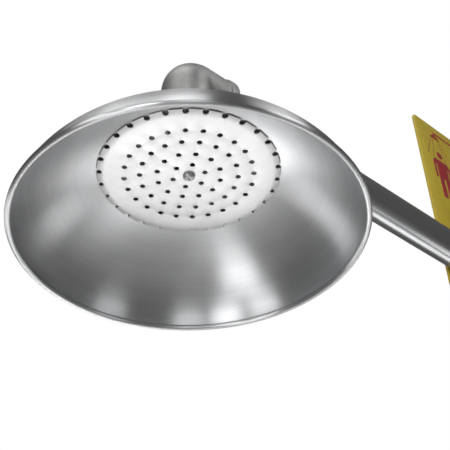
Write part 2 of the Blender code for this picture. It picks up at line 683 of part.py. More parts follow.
def make_valve_cap(finish, valve):
    spigot = CAVITY_HALF + GAP
    seat = CAVITY_HALF + CAP_FLANGE + GAP
    flange_end = seat + CAP_FLANGE
    blank = turned([(0, spigot), (CAVITY_RADIUS - GAP, spigot), (CAVITY_RADIUS - GAP, seat),
                    (BARREL_RADIUS, seat), (BARREL_RADIUS, flange_end), (0, flange_end)], ROUND, TO_X)
    cap = add_part("valve_end_cap", blank, finish["plated_brass"], valve)
    shape_with(cap, "UNION", [hex_between(VALVE_HEX, flange_end - ROOT, VALVE_HALF, TO_X)])
    socket_floor = VALVE_HALF - ENGAGEMENT - GAP
    way = turned([(0, spigot - OVERCUT), (PORT_RADIUS, spigot - OVERCUT), (PORT_RADIUS, socket_floor),
                  (BORE_RADIUS, socket_floor), (BORE_RADIUS, VALVE_HALF + OVERCUT),
                  (0, VALVE_HALF + OVERCUT)], ROUND, TO_X)
    shape_with(cap, "DIFFERENCE", [way])


def make_ball(finish, pivot):
    sphere = bmesh.new()
    bmesh.ops.create_uvsphere(sphere, u_segments=24, v_segments=14, radius=BALL_RADIUS)
    ball = add_part("valve_ball", sphere, finish["fastener_steel"], pivot)
    port = rod_between(PORT_RADIUS, -BALL_RADIUS - OVERCUT, BALL_RADIUS + OVERCUT, 24)
    half_width = TANG_WIDTH / 2 + GAP
    slot_floor = STEM_SEAT - TANG_DEPTH - GAP
    slot = box_between((-half_width, -2 * BALL_RADIUS, -BALL_RADIUS),
                       (half_width, -slot_floor, BALL_RADIUS))
    shape_with(ball, "DIFFERENCE", [port, slot])


def make_seats(finish, valve):
    """Two rings whose inner edges follow the ball."""
    sphere = BALL_RADIUS + GAP
    face = CAVITY_HALF - GAP
    inner_face = face - SEAT_DEPTH
    start = math.asin(inner_face / sphere)
    end = math.acos((PORT_RADIUS + SEAT_RELIEF) / sphere)
    zone = arc(sphere, start, end, 4)
    outline = [(CAVITY_RADIUS - GAP, face), (CAVITY_RADIUS - GAP, inner_face), *zone,
               (PORT_RADIUS + SEAT_RELIEF, face)]
    for name, turn in (("valve_seat_outlet", -math.pi / 2), ("valve_seat_inlet", math.pi / 2)):
        spot = Matrix.Rotation(turn, 4, "Y")
        add_part(name, turned(outline, ROUND, spot), finish["white_ptfe"], valve)


def make_stem(finish, pivot):
    base = STEM_SEAT - TANG_DEPTH
    tang = box_between((-TANG_WIDTH / 2, -TANG_LENGTH / 2, base), (TANG_WIDTH / 2, TANG_LENGTH / 2,
                       STEM_SEAT + OVERCUT), TO_FRONT)
    stem = add_part("valve_stem", tang, finish["fastener_steel"], pivot)
    shaft_top = GLAND_TOP - GAP
    shaft = turned([(0, STEM_SEAT), (STEM_FLANGE_RADIUS, STEM_SEAT), (STEM_FLANGE_RADIUS, FLANGE_TOP),
                    (STEM_RADIUS, FLANGE_TOP), (STEM_RADIUS, shaft_top), (0, shaft_top)], 24, TO_FRONT)
    half = STEM_SQUARE / 2
    square = box_between((-half, -half, shaft_top - ROOT), (half, half, LEVER_TOP - GAP), TO_FRONT)
    thread = rod_between(STEM_THREAD, LEVER_TOP - ROOT, LEVER_NUT_TOP + THREAD_SPARE, SMALL, TO_FRONT)
    shape_with(stem, "UNION", [shaft, square, thread])


def make_stem_seals(finish, valve):
    bore = STEM_RADIUS + PIN_PLAY
    washer = ring_between(bore, STEM_FLANGE_RADIUS, FLANGE_TOP + GAP, FLANGE_TOP + GAP + THRUST_WASHER,
                          24, TO_FRONT)
    add_part("stem_thrust_washer", washer, finish["white_ptfe"], valve)
    packing = ring_between(bore, PACKING_RADIUS, CHAMBER_FLOOR + GAP, PACKING_TOP, 24, TO_FRONT)
    add_part("stem_packing", packing, finish["white_ptfe"], valve)
    nut = hex_between(GLAND_HEX, BOSS_REACH + GAP, GLAND_TOP, TO_FRONT)
    gland = add_part("gland_nut", nut, finish["plated_brass"], valve)
    spigot = rod_between(PACKING_RADIUS, PACKING_TOP + GAP, BOSS_REACH + ROOT, 24, TO_FRONT)
    shape_with(gland, "UNION", [spigot])
    way = rod_between(bore, PACKING_TOP - OVERCUT, GLAND_TOP + OVERCUT, 24, TO_FRONT)
    shape_with(gland, "DIFFERENCE", [way])


def lever_outline():
    """Lever seen from the front: a short tail to the right, a round hub and a long arm to the left."""
    lean = math.asin((LEVER_HUB_RADIUS - LEVER_TIP_RADIUS) / LEVER_LENGTH)
    half = LEVER_TAIL_WIDTH / 2
    join = math.asin(half / LEVER_HUB_RADIUS)
    upper = math.pi / 2 + lean
    points = [(LEVER_TAIL, -half), (LEVER_TAIL, half)]
    points += arc(LEVER_HUB_RADIUS, join, upper, 6)
    points += arc(LEVER_TIP_RADIUS, upper, 2 * math.pi - upper, 10, (-LEVER_LENGTH, 0.0))
    points += arc(LEVER_HUB_RADIUS, 2 * math.pi - upper, 2 * math.pi - join, 6)
    return points


def make_lever(finish, pivot):
    half = STEM_SQUARE / 2 + GAP
    square = [(-half, -half), (half, -half), (half, half), (-half, half)]
    pin_hole = circle(PIN_RADIUS + PIN_PLAY, 12, (-LEVER_LENGTH, 0.0))
    plate = flat_plate([lever_outline(), square, pin_hole], LEVER_THICKNESS, TO_FRONT)
    add_part("valve_lever", plate, finish["satin_steel"], pivot, (0, -LEVER_FACE, 0))
    bore = STEM_THREAD + PIN_PLAY
    nut = hex_nut(LEVER_NUT_HEX, bore, LEVER_NUT_HEIGHT, TO_FRONT)
    add_part("lever_nut", nut, finish["fastener_steel"], pivot, (0, -LEVER_TOP - GAP, 0))


def make_clevis(finish, pin_point):
    half = CLEVIS_WIDTH / 2
    shoulder = -(CLEVIS_SLOT_DEPTH + CLEVIS_WEB)
    side = [(half, shoulder), *arc(half, 0, math.pi, 10), (-half, shoulder)]
    blank = flat_plate([side], 2 * CLEVIS_HALF, TO_FRONT)
    bmesh.ops.translate(blank, vec=(0, CLEVIS_HALF, 0), verts=blank.verts[:])
    clevis = add_part("rod_clevis", blank, finish["fastener_steel"], pin_point)
    neck = rod_between(CLEVIS_NECK_RADIUS, -CLEVIS_LENGTH, shoulder + ROOT, SMALL)
    shape_with(clevis, "UNION", [neck])
    slot = CLEVIS_HALF - CLEVIS_EAR
    cuts = [box_between((-CLEVIS_WIDTH, -slot, -CLEVIS_SLOT_DEPTH), (CLEVIS_WIDTH, slot, CLEVIS_WIDTH)),
            rod_between(PIN_RADIUS + PIN_PLAY, -CLEVIS_WIDTH, CLEVIS_WIDTH, SMALL, TO_FRONT),
            rod_between(ROD_RADIUS + GAP, -CLEVIS_LENGTH - OVERCUT, ROD_THREAD + GAP - CLEVIS_LENGTH, SMALL)]
    shape_with(clevis, "DIFFERENCE", cuts)


def make_pin(finish, pin_point):
    head_low = CLEVIS_HALF + GAP
    tail = -(CLEVIS_HALF + 2 * GAP + CLIP_THICKNESS + THREAD_SPARE)
    outline = [(0, tail), (PIN_RADIUS, tail), (PIN_RADIUS, head_low), (PIN_HEAD_RADIUS, head_low),
               (PIN_HEAD_RADIUS, head_low + PIN_HEAD_HEIGHT), (0, head_low + PIN_HEAD_HEIGHT)]
    add_part("clevis_pin", turned(outline, SMALL, TO_FRONT), finish["fastener_steel"], pin_point)
    clip_low = -(CLEVIS_HALF + GAP + CLIP_THICKNESS)
    clip = ring_between(PIN_RADIUS + PIN_PLAY, PIN_HEAD_RADIUS + CLIP_LIP, clip_low,
                        clip_low + CLIP_THICKNESS, SMALL, TO_FRONT)
    add_part("pin_clip", clip, finish["fastener_steel"], pin_point)


def make_pull_rod(finish, pin_point):
    top = ROD_THREAD - CLEVIS_LENGTH
    bottom = top - ROD_LENGTH
    add_part("pull_rod", rod_between(ROD_RADIUS, bottom, top, SMALL), finish["satin_steel"], pin_point)
    bore = ROD_RADIUS + PIN_PLAY
    nut = hex_nut(ROD_NUT_HEX, bore, ROD_NUT_HEIGHT)
    add_part("rod_locknut", nut, finish["fastener_steel"], pin_point,
             (0, 0, -CLEVIS_LENGTH - GAP - ROD_NUT_HEIGHT))
    socket_top = bottom + ROD_THREAD
    add_part("handle_locknut", hex_nut(ROD_NUT_HEX, bore, ROD_NUT_HEIGHT), finish["fastener_steel"],
             pin_point, (0, 0, socket_top + GAP))
    return socket_top


def make_handle(finish, pin_point, socket_top):
    """Triangular loop of round rod below a threaded socket."""
    apex = ROD_RADIUS - HANDLE_SOCKET_HEIGHT
    base = apex - HANDLE_DROP
    corners = [(0, apex), (-HANDLE_WIDTH / 2, base), (HANDLE_WIDTH / 2, base)]
    loop = bent_rod(rounded_corners(corners, HANDLE_CORNER, 6), ROD_RADIUS, 10, closed=True)
    bmesh.ops.transform(loop, matrix=TO_FRONT, verts=loop.verts[:])
    handle = add_part("pull_handle", loop, finish["satin_steel"], pin_point, (0, 0, socket_top))
    low = apex - HANDLE_CORNER
    shape_with(handle, "UNION", [rod_between(HANDLE_SOCKET_RADIUS, low, 0, SMALL)])
    floor = -ROD_THREAD - 2 * GAP
    shape_with(handle, "DIFFERENCE", [rod_between(ROD_RADIUS + GAP, floor, OVERCUT, SMALL)])


def make_supply_nipple(finish):
    start = VALVE_X + VALVE_HALF - ENGAGEMENT
    tube = ring_between(PIPE_RADIUS - PIPE_WALL, PIPE_RADIUS, start, SUPPLY_STUB, ROUND, TO_X)
    add_part("supply_nipple", tube, finish["satin_steel"])


def make_wall_flange(finish):
    outline = [(BORE_RADIUS, 0), (FLANGE_RADIUS, 0), (FLANGE_RADIUS, FLANGE_THICKNESS - FLANGE_CHAMFER),
               (FLANGE_RADIUS - FLANGE_CHAMFER, FLANGE_THICKNESS),
               (FLANGE_HUB_RADIUS + FLANGE_FILLET, FLANGE_THICKNESS),
               (FLANGE_HUB_RADIUS + 0.3 * FLANGE_FILLET, FLANGE_THICKNESS + 0.3 * FLANGE_FILLET),
               (FLANGE_HUB_RADIUS, FLANGE_THICKNESS + FLANGE_FILLET),
               (FLANGE_HUB_RADIUS, FLANGE_HUB_LENGTH - FLANGE_CHAMFER),
               (FLANGE_HUB_RADIUS - FLANGE_CHAMFER, FLANGE_HUB_LENGTH), (BORE_RADIUS, FLANGE_HUB_LENGTH)]
    away = Matrix.Rotation(-math.pi / 2, 4, "Y")    # local Z to -X
    flange = add_part("wall_flange", turned(outline, 36, away), finish["cast_steel"])
    holes = []
    for i in range(4):
        angle = math.pi / 4 + i * math.pi / 2
        y, z = FLANGE_BOLT_CIRCLE * math.cos(angle), FLANGE_BOLT_CIRCLE * math.sin(angle)
        spot = Matrix.Translation((0, y, z)) @ TO_X
        holes.append(rod_between(FLANGE_BOLT_HOLE, -2 * FLANGE_THICKNESS, FLANGE_THICKNESS, SMALL, spot))
    spot = Matrix.Translation((-GRUB_FROM_WALL, 0, 0)) @ TO_FRONT
    inside, outside = PIPE_RADIUS - PIPE_WALL, FLANGE_HUB_RADIUS + ROOT
    holes.append(rod_between(GRUB_RADIUS + GAP, inside, outside, SMALL, spot))
    shape_with(flange, "DIFFERENCE", holes)
    start = PIPE_RADIUS + GAP
    screw = rod_between(GRUB_RADIUS, start, start + GRUB_LENGTH, SMALL, TO_FRONT)
    place = (-GRUB_FROM_WALL, 0, 0)
    grub = add_part("flange_grub_screw", screw, finish["fastener_steel"], None, place)
    end = start + GRUB_LENGTH
    key = hex_between(GRUB_KEY, end - GRUB_KEY_DEPTH, end + OVERCUT, TO_FRONT)
    shape_with(grub, "DIFFERENCE", [key])


def build():
    clear_scene()
    finish = make_materials()
    head = add_empty("head_axis", (HEAD_X, 0, 0))
    make_bowl(finish, head)
    make_spray_plate(finish, head)
    make_plate_screw(finish, head)
    make_bridge(finish, head)
    make_inlet_socket(finish, head)
    make_head_seals(finish, head)
    make_drop_nipple(finish, head)
    make_elbow(finish, head)
    make_arm_pipe(finish)
    make_sign(finish)
    make_sign_fixings(finish)
    valve = add_empty("valve_centre", (VALVE_X, 0, 0))
    make_valve_body(finish, valve)
    make_valve_cap(finish, valve)
    make_seats(finish, valve)
    make_stem_seals(finish, valve)
    lever = add_empty("lever_axis", (0, 0, 0), valve)
    make_ball(finish, lever)
    make_stem(finish, lever)
    make_lever(finish, lever)
    pin_point = add_empty("rod_axis", (-LEVER_LENGTH, -LEVER_MIDDLE, 0), lever)
    make_clevis(finish, pin_point)
    make_pin(finish, pin_point)
    socket_top = make_pull_rod(finish, pin_point)
    make_handle(finish, pin_point, socket_top)
    make_supply_nipple(finish)
    make_wall_flange(finish)
    bpy.context.view_layer.update()


build()
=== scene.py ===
import bmesh
import bpy
import math
from mathutils import Matrix, Vector


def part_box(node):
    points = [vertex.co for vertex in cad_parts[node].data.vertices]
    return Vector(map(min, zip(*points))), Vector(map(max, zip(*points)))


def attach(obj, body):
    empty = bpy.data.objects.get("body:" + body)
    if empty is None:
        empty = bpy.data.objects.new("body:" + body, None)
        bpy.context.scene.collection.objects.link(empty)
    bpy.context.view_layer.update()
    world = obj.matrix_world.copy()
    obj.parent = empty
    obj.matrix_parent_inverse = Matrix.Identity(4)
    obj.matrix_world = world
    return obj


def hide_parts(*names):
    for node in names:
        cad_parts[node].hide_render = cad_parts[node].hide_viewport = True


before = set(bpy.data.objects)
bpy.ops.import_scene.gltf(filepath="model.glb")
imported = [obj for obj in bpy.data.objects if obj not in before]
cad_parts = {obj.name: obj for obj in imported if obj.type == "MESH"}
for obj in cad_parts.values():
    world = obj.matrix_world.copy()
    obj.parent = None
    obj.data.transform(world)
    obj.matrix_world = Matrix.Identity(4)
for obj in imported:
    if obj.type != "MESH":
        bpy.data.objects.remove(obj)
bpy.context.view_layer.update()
mm = 0.001
turn = 2 * math.pi
alongX = Matrix.Rotation(math.pi / 2, 4, "Y")        # a lathe's Z turned to +X
towardFront = Matrix.Rotation(math.pi / 2, 4, "X")   # a lathe's Z turned to -Y
towardBack = Matrix.Rotation(-math.pi / 2, 4, "X")   # a lathe's Z turned to +Y


def middle(node):
    low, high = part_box(node)
    return (low + high) / 2


def moved(*place):
    return Matrix.Translation(Vector(place))


# places and shared sizes, read from the frame
head = Vector((middle("shower_bowl").x, 0, 0))        # bowl's axis at the arm's height
bead = 2.3 * mm                                       # radius of the rolled rim
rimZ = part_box("shower_bowl")[0].z + bead
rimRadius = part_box("shower_bowl")[1].x - head.x - bead    # to the middle of the rolled bead
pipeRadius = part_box("arm_pipe")[1].z
pipeWall = 2.6 * mm
play = 0.3 * mm                                       # between pieces that fit together
hair = 1e-7                                           # points closer than this are one
level = 1e-6                                          # heights closer than this are the same
square = 1.4                                          # an edge folded by more radians is a corner
print("frame loaded, rim at", round(rimZ, 4))


# camera, floor and light

cameraSettings = {"place": (-1.10009, -0.39743, -0.55922), "right": (0.74568, -0.66539, -0.03484),
                  "up": (-0.39343, -0.48189, 0.78294), "lens": 74.365,
                  "sensor": 36, "nearest": 0.02}


def makeCamera():
    s = cameraSettings
    right, up = Vector(s["right"]).normalized(), Vector(s["up"]).normalized()
    lens = bpy.data.cameras.new("camera")
    lens.lens = s["lens"]
    lens.sensor_width = s["sensor"]
    lens.clip_start = s["nearest"]
    camera = bpy.data.objects.new("camera", lens)
    turned = Matrix((right, up, right.cross(up))).transposed().to_4x4()
    camera.matrix_world = moved(*s["place"]) @ turned
    bpy.context.scene.collection.objects.link(camera)
    bpy.context.scene.camera = camera


studioSettings = {"floorZ": -2.25, "floorSize": 9.0, "fill": 0.11, "reach": 2.0, "size": 0.75,
                  "aimAbove": 30 * mm, "floorColor": (0.82, 0.82, 0.82, 1), "floorRoughness": 0.8,
                  "floorGlow": (0.74, 0.74, 0.74, 1)}
# round softboxes about the bowl: compass angle, height angle, watts
softboxes = [(206, -8, 8.7), (225, 62, 6.3), (288, 35, 6.0), (180, -8, 5.0), (60, -30, 5.0),
             (180, -55, 4.9), (231, -8, 4.1), (180, 62, 3.4), (283, -8, 2.8), (36, -55, 2.8),
             (103, -8, 2.6), (30, -30, 2.3), (180, 35, 2.2), (0, -30, 1.8), (90, -30, 1.8),
             (315, 62, 1.6), (135, 62, 1.2), (72, -55, 1.2), (180, -30, 1.0), (0, -55, 0.9),
             (130, -80, 0.9)]


def makeStudio():
    s = studioSettings
    bm = bmesh.new()
    bmesh.ops.create_grid(bm, x_segments=1, y_segments=1, size=s["floorSize"] / 2)
    bmesh.ops.translate(bm, vec=(head.x / 2, 0, s["floorZ"]), verts=bm.verts[:])
    mesh = bpy.data.meshes.new("floor")
    bm.to_mesh(mesh)
    bm.free()
    floor = bpy.data.objects.new("floor", mesh)
    bpy.context.scene.collection.objects.link(floor)
    paint = bpy.data.materials.new("pale_floor")
    paint.use_nodes = True
    nodes, links = paint.node_tree.nodes, paint.node_tree.links
    nodes["Principled BSDF"].inputs["Base Color"].default_value = s["floorColor"]
    nodes["Principled BSDF"].inputs["Roughness"].default_value = s["floorRoughness"]
    glow = nodes.new("ShaderNodeEmission")    # keeps the floor pale to look at without lighting the bowl
    glow.inputs["Color"].default_value = s["floorGlow"]
    looked = nodes.new("ShaderNodeLightPath")
    blend = nodes.new("ShaderNodeMixShader")
    links.new(looked.outputs["Is Camera Ray"], blend.inputs[0])
    links.new(nodes["Principled BSDF"].outputs[0], blend.inputs[1])
    links.new(glow.outputs[0], blend.inputs[2])
    links.new(blend.outputs[0], nodes["Material Output"].inputs["Surface"])
    mesh.materials.append(paint)

    world = bpy.data.worlds.new("studio")
    world.use_nodes = True
    bpy.context.scene.world = world
    tree = world.node_tree
    tree.nodes.clear()
    output = tree.nodes.new("ShaderNodeOutputWorld")
    mixed = tree.nodes.new("ShaderNodeMixShader")
    seen = tree.nodes.new("ShaderNodeBackground")
    fill = tree.nodes.new("ShaderNodeBackground")
    ray = tree.nodes.new("ShaderNodeLightPath")
    seen.inputs["Color"].default_value = (1, 1, 1, 1)
    fill.inputs["Color"].default_value = (s["fill"], s["fill"], s["fill"], 1)
    tree.links.new(ray.outputs["Is Camera Ray"], mixed.inputs[0])
    tree.links.new(fill.outputs[0], mixed.inputs[1])
    tree.links.new(seen.outputs[0], mixed.inputs[2])
    tree.links.new(mixed.outputs[0], output.inputs[0])

    aim = Vector((head.x, 0, rimZ + s["aimAbove"]))
    for number, (compass, height, watts) in enumerate(softboxes):
        a, h = math.radians(compass), math.radians(height)
        away = Vector((math.cos(h) * math.cos(a), math.cos(h) * math.sin(a), math.sin(h)))
        data = bpy.data.lights.new(f"softbox_{number}", "AREA")
        data.shape = "DISK"
        data.size = s["size"]
        data.energy = watts
        light = bpy.data.objects.new(f"softbox_{number}", data)
        facing = (-away).to_track_quat("-Z", "Y").to_matrix().to_4x4()
        light.matrix_world = moved(*(aim + away * s["reach"])) @ facing
        light.visible_camera = False
        bpy.context.scene.collection.objects.link(light)
    bpy.context.scene.view_settings.view_transform = "Standard"


makeCamera()
makeStudio()
print("camera and studio ready")


# finishes

class Wire:
    def __init__(self, tree, socket):
        self.tree = tree
        self.socket = socket

    def join(self, operation, first, second):
        node = self.tree.nodes.new("ShaderNodeMath")
        node.operation = operation
        for index, value in enumerate((first, second)):
            if isinstance(value, Wire):
                self.tree.links.new(value.socket, node.inputs[index])
            else:
                node.inputs[index].default_value = value
        return Wire(self.tree, node.outputs[0])

    def __add__(self, other):
        return self.join("ADD", self, other)

    def __radd__(self, other):
        return self.join("ADD", other, self)

    def __mul__(self, other):
        return self.join("MULTIPLY", self, other)

    def __pow__(self, other):
        return self.join("POWER", self, other)


class Finish:
    def __init__(self, name, color, roughness, metallic, fixed=None):
        self.material = bpy.data.materials.new(name)
        self.material.use_nodes = True
        self.tree = self.material.node_tree
        self.shader = self.tree.nodes["Principled BSDF"]
        self.color = color
        values = {"Base Color": (*color, 1), "Roughness": roughness, "Metallic": metallic}
        values.update(fixed or {})
        for socket, value in values.items():
            self.shader.inputs[socket].default_value = value

    def node(self, kind, settings=None, sockets=None, out=0):
        made = self.tree.nodes.new("ShaderNode" + kind)
        for key, value in (settings or {}).items():
            if key == "stops":
                for element, (place, shade) in zip(made.color_ramp.elements, value):
                    element.position = place
                    element.color = (shade, shade, shade, 1)
            else:
                setattr(made, key, value)
        for key, value in (sockets or {}).items():
            if isinstance(value, Wire):
                self.tree.links.new(value.socket, made.inputs[key])
            else:
                made.inputs[key].default_value = value
        return Wire(self.tree, made.outputs[out])

    def feed(self, socket, wire):
        self.tree.links.new(wire.socket, self.shader.inputs[socket])

    def here(self, centre=(0, 0, 0), stretch=(1, 1, 1)):
        raw = self.node("TexCoord", out=3)
        centred = self.node("Mapping", None, {"Vector": raw, "Location": tuple(-c for c in centre)})
        return self.node("Mapping", None, {"Vector": centred, "Scale": stretch})

    def noise(self, vector, scale, detail=3.0, rough=0.55):
        return self.node("TexNoise", None, {"Vector": vector, "Scale": scale, "Detail": detail,
                                            "Roughness": rough})

    def ramp(self, wire, low, high):
        return self.node("ValToRGB", {"stops": [(low, 0), (high, 1)]}, {"Fac": wire})

    def tint(self, factor, other):
        mixed = self.node("Mix", {"data_type": "RGBA"},
                          {0: factor, 6: (*self.color, 1), 7: (*other, 1)}, out=2)
        self.feed("Base Color", mixed)

    def bump(self, height, strength, distance):
        self.feed("Normal", self.node("Bump", None, {"Height": height, "Strength": strength,
                                                     "Distance": distance}))


# In the finishes below, a scale is how fine a pattern is, a share is how much of it goes into the mix, a
# ramp is where the mix turns from the main colour to the other one, a depth is how deep the grain is, and
# the offset comes off the roughness because the patterns add to it.

spunSettings = {"color": (0.62, 0.625, 0.63), "streak": (0.52, 0.525, 0.535), "roughness": 0.32,
                "anisotropy": 0.9, "acrossRings": 0.25, "ringScale": 900, "bandScale": 110,
                "smudgeScale": 26, "ringShare": 0.6, "bandShare": 0.4, "ramp": (0.35, 0.7),
                "offset": 0.06, "ringRough": 0.06, "smudgeRough": 0.06, "bandHeight": 0.5,
                "bump": 0.25, "depth": 0.02 * mm}


def spunSteel():
    s = spunSettings
    finish = Finish("spun_steel", s["color"], s["roughness"], 1.0,
                    {"Anisotropic": s["anisotropy"], "Anisotropic Rotation": s["acrossRings"]})
    place = finish.here(head)
    x, y, z = (finish.node("SeparateXYZ", None, {"Vector": place}, out=i) for i in range(3))
    radius = (x * x + y * y) ** 0.5
    rings = finish.node("CombineXYZ", None, {"X": radius, "Y": z})
    fine = finish.noise(rings, s["ringScale"], detail=4.0, rough=0.7)
    bands = finish.noise(rings, s["bandScale"], detail=2.0)
    smudge = finish.noise(place, s["smudgeScale"], detail=4.0)
    finish.tint(finish.ramp(fine * s["ringShare"] + bands * s["bandShare"], *s["ramp"]), s["streak"])
    finish.feed("Roughness", s["roughness"] - s["offset"] + fine * s["ringRough"]
                + smudge * s["smudgeRough"])
    finish.bump(fine + bands * s["bandHeight"], s["bump"], s["depth"])
    return finish.material


drawnSettings = {"color": (0.56, 0.565, 0.57), "streak": (0.46, 0.465, 0.475), "roughness": 0.22,
                 "lineScale": 700, "handlingScale": 30, "lineShare": 0.7, "handlingShare": 0.3,
                 "ramp": (0.38, 0.7), "offset": 0.05, "lineRough": 0.06, "handlingRough": 0.06,
                 "bump": 0.2, "depth": 0.02 * mm}


def drawnSteel(name, stretch):
    s = drawnSettings
    finish = Finish(name, s["color"], s["roughness"], 1.0)
    lines = finish.noise(finish.here((0, 0, 0), stretch), s["lineScale"], detail=4.0, rough=0.65)
    handling = finish.noise(finish.here(), s["handlingScale"], detail=4.0)
    finish.tint(finish.ramp(lines * s["lineShare"] + handling * s["handlingShare"], *s["ramp"]),
                s["streak"])
    finish.feed("Roughness", s["roughness"] - s["offset"] + lines * s["lineRough"]
                + handling * s["handlingRough"])
    finish.bump(lines, s["bump"], s["depth"])
    return finish.material


plateSettings = {"color": (0.86, 0.86, 0.855), "dull": (0.78, 0.78, 0.78), "roughness": 0.48,
                 "stretch": (1, 0.05, 1), "grainScale": 1500, "cloudScale": 45, "share": 0.5,
                 "ramp": (0.38, 0.7), "offset": 0.06, "grainRough": 0.05, "cloudRough": 0.07,
                 "bump": 0.12, "depth": 0.03 * mm}


def punchedSteel():
    s = plateSettings
    finish = Finish("punched_steel", s["color"], s["roughness"], 1.0)
    grain = finish.noise(finish.here(head, s["stretch"]), s["grainScale"], detail=3.0, rough=0.6)
    cloud = finish.noise(finish.here(head), s["cloudScale"], detail=4.0)
    finish.tint(finish.ramp(grain * s["share"] + cloud * s["share"], *s["ramp"]), s["dull"])
    finish.feed("Roughness", s["roughness"] - s["offset"] + grain * s["grainRough"]
                + cloud * s["cloudRough"])
    finish.bump(grain + cloud, s["bump"], s["depth"])
    return finish.material


castSettings = {"color": (0.44, 0.44, 0.435), "pit": (0.29, 0.29, 0.285), "roughness": 0.50,
                "sandScale": 900, "lumpScale": 120, "blotchScale": 40, "sandShare": 0.6,
                "blotchShare": 0.4, "ramp": (0.40, 0.66), "offset": 0.08, "sandRough": 0.12,
                "blotchRough": 0.06, "lumpHeight": 0.8, "bump": 0.45, "depth": 0.12 * mm}


def castSteel():
    s = castSettings
    finish = Finish("cast_steel", s["color"], s["roughness"], 1.0)
    place = finish.here()
    sand = finish.noise(place, s["sandScale"], detail=5.0, rough=0.7)
    lumps = finish.noise(place, s["lumpScale"])
    blotch = finish.noise(place, s["blotchScale"])
    finish.tint(finish.ramp(sand * s["sandShare"] + blotch * s["blotchShare"], *s["ramp"]), s["pit"])
    finish.feed("Roughness", s["roughness"] - s["offset"] + sand * s["sandRough"]
                + blotch * s["blotchRough"])
    finish.bump(sand + lumps * s["lumpHeight"], s["bump"], s["depth"])
    return finish.material


platingSettings = {
    "plated_brass": {"color": (0.60, 0.59, 0.565), "worn": (0.52, 0.50, 0.45), "roughness": 0.30},
    "zinc_fastener": {"color": (0.60, 0.605, 0.61), "worn": (0.46, 0.47, 0.475), "roughness": 0.34},
    "handlingScale": 60, "scratchScale": 900, "stretch": (1, 0.08, 0.4), "ramp": (0.45, 0.75),
    "offset": 0.08, "handlingRough": 0.1, "scratchRough": 0.06, "bump": 0.15, "depth": 0.03 * mm}


def platedMetal(name):
    s = platingSettings
    metal = s[name]
    finish = Finish(name, metal["color"], metal["roughness"], 1.0)
    handling = finish.noise(finish.here(), s["handlingScale"], detail=5.0, rough=0.65)
    scratches = finish.noise(finish.here((0, 0, 0), s["stretch"]), s["scratchScale"])
    finish.tint(finish.ramp(handling, *s["ramp"]), metal["worn"])
    finish.feed("Roughness", metal["roughness"] - s["offset"] + handling * s["handlingRough"]
                + scratches * s["scratchRough"])
    finish.bump(scratches + handling, s["bump"], s["depth"])
    return finish.material


mouldedSettings = {
    "white_ptfe": {"color": (0.80, 0.80, 0.78), "other": (0.70, 0.70, 0.68), "roughness": 0.45,
                   "scale": 500, "depth": 0.03 * mm},
    "black_rubber": {"color": (0.022, 0.022, 0.022), "other": (0.045, 0.045, 0.045),
                     "roughness": 0.70, "scale": 700, "depth": 0.06 * mm},
    "ramp": (0.4, 0.7), "offset": 0.05, "grainRough": 0.1, "bump": 0.3}


def mouldedStock(name):
    s = mouldedSettings
    stock = s[name]
    finish = Finish(name, stock["color"], stock["roughness"], 0.0)
    grain = finish.noise(finish.here(), stock["scale"], detail=4.0, rough=0.6)
    finish.tint(finish.ramp(grain, *s["ramp"]), stock["other"])
    finish.feed("Roughness", stock["roughness"] - s["offset"] + grain * s["grainRough"])
    finish.bump(grain, s["bump"], stock["depth"])
    return finish.material


printSettings = {
    "sign_yellow": {"color": (0.59, 0.43, 0.018), "faded": (0.66, 0.50, 0.035), "roughness": 0.38},
    "sign_red": {"color": (0.46, 0.025, 0.035), "faded": (0.38, 0.02, 0.03), "roughness": 0.36},
    "coat": 0.2, "coatRoughness": 0.3, "cloudScale": 14, "peelScale": 260, "cloudShare": 0.7,
    "peelShare": 0.3, "ramp": (0.40, 0.66), "offset": 0.04, "peelRough": 0.06, "cloudRough": 0.06,
    "bump": 0.12, "depth": 0.04 * mm}


def printedSheet(name):
    s = printSettings
    ink = s[name]
    finish = Finish(name, ink["color"], ink["roughness"], 0.0,
                    {"Coat Weight": s["coat"], "Coat Roughness": s["coatRoughness"]})
    place = finish.here()
    cloud = finish.noise(place, s["cloudScale"], detail=4.0)
    peel = finish.noise(place, s["peelScale"])
    finish.tint(finish.ramp(cloud * s["cloudShare"] + peel * s["peelShare"], *s["ramp"]), ink["faded"])
    finish.feed("Roughness", ink["roughness"] - s["offset"] + peel * s["peelRough"]
                + cloud * s["cloudRough"])
    finish.bump(peel, s["bump"], s["depth"])
    return finish.material


finishes = {
    "spun": spunSteel(),
    "plate": punchedSteel(),
    "pipe": drawnSteel("drawn_pipe", (0.04, 1, 1)),    # lines run along the pipe
    "rod": drawnSteel("drawn_rod", (1, 1, 0.04)),      # lines run down the rod
    "cast": castSteel(),
    "plated": platedMetal("plated_brass"),
    "fastener": platedMetal("zinc_fastener"),
    "ptfe": mouldedStock("white_ptfe"),
    "rubber": mouldedStock("black_rubber"),
    "sign": printedSheet("sign_yellow"),
    "mark": printedSheet("sign_red"),
}
print("finishes ready")


# ways of making a piece

def finished(name, bm, finish, body="arm", replaces=(), sharp=32):
    bmesh.ops.remove_doubles(bm, verts=bm.verts[:], dist=hair)
    bmesh.ops.recalc_face_normals(bm, faces=bm.faces[:])
    mesh = bpy.data.meshes.new(name)
    bm.to_mesh(mesh)
    bm.free()
    mesh.materials.append(finishes[finish])
    mesh.shade_smooth()
    mesh.set_sharp_from_angle(angle=math.radians(sharp))
    piece = bpy.data.objects.new(name, mesh)
    bpy.context.scene.collection.objects.link(piece)
    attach(piece, body)
    if replaces:
        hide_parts(*replaces)


